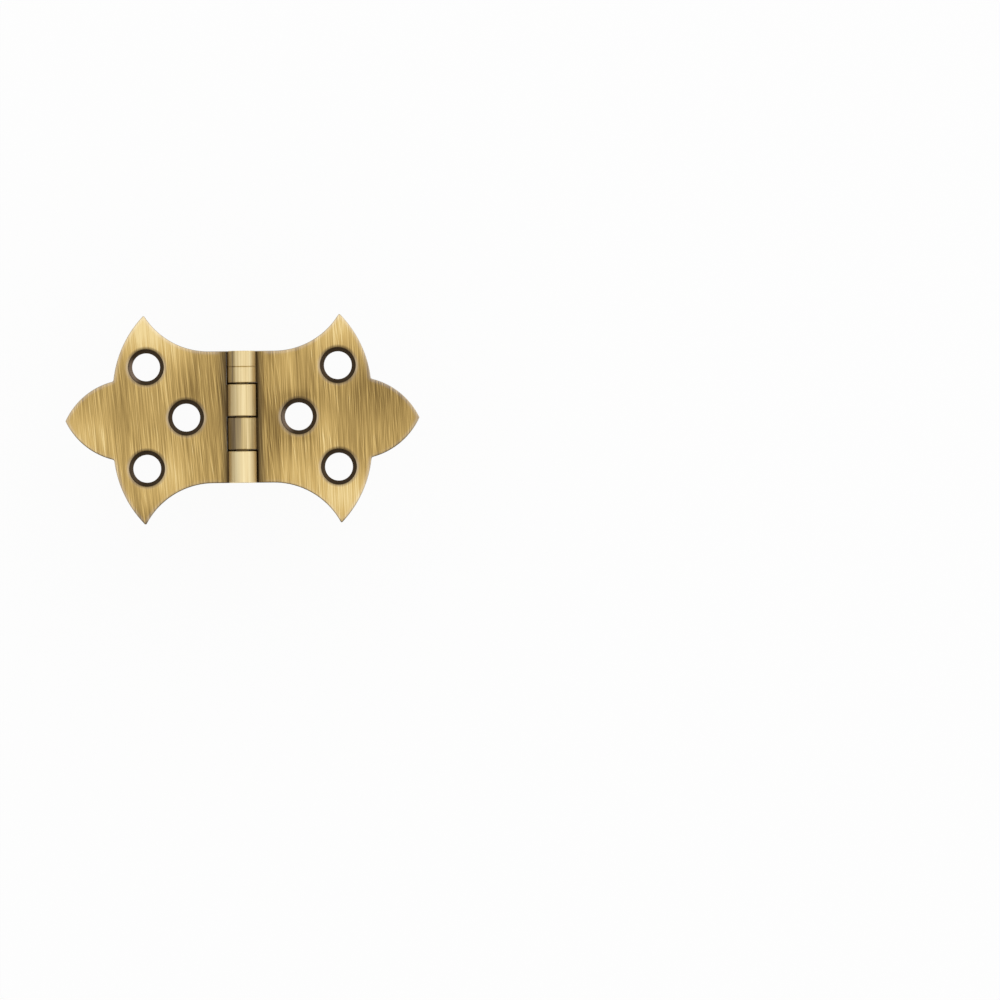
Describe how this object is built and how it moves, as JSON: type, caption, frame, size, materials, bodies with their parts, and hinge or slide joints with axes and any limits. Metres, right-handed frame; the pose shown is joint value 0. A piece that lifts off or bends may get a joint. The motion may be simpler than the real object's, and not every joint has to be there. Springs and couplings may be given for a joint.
{
  "type": "decorative hinge",
  "caption": "Surface-mounted cabinet hinge with scalloped, pointed leaves, countersunk screw holes and rolled knuckles that swing on a hidden pin.",
  "frame": {"origin": "on the plane of the mounting backs, straight under the middle of the pin", "axes": "+X across the leaves towards the right leaf, +Y along the pin towards the crimped knuckle, +Z out of the visible faces"},
  "size_m": [0.0572, 0.0336, 0.0045],
  "materials": {
    "leaf_brass": "antique brass, brushed along the pin, dark in the countersinks and seams",
    "pin_brass": "plain drawn brass, darkened"
  },
  "bodies": {
    "left": {"left_leaf": "leaf_brass"},
    "right": {"right_leaf": "leaf_brass", "hinge_pin": "pin_brass"}
  },
  "joints": [
    {"name": "leaf_swing", "type": "hinge", "parent": "left", "child": "right", "pos_m": [0, 0, 0.00223], "axis": [0, -1, 0], "range_deg": [-90, 180]}
  ]
}
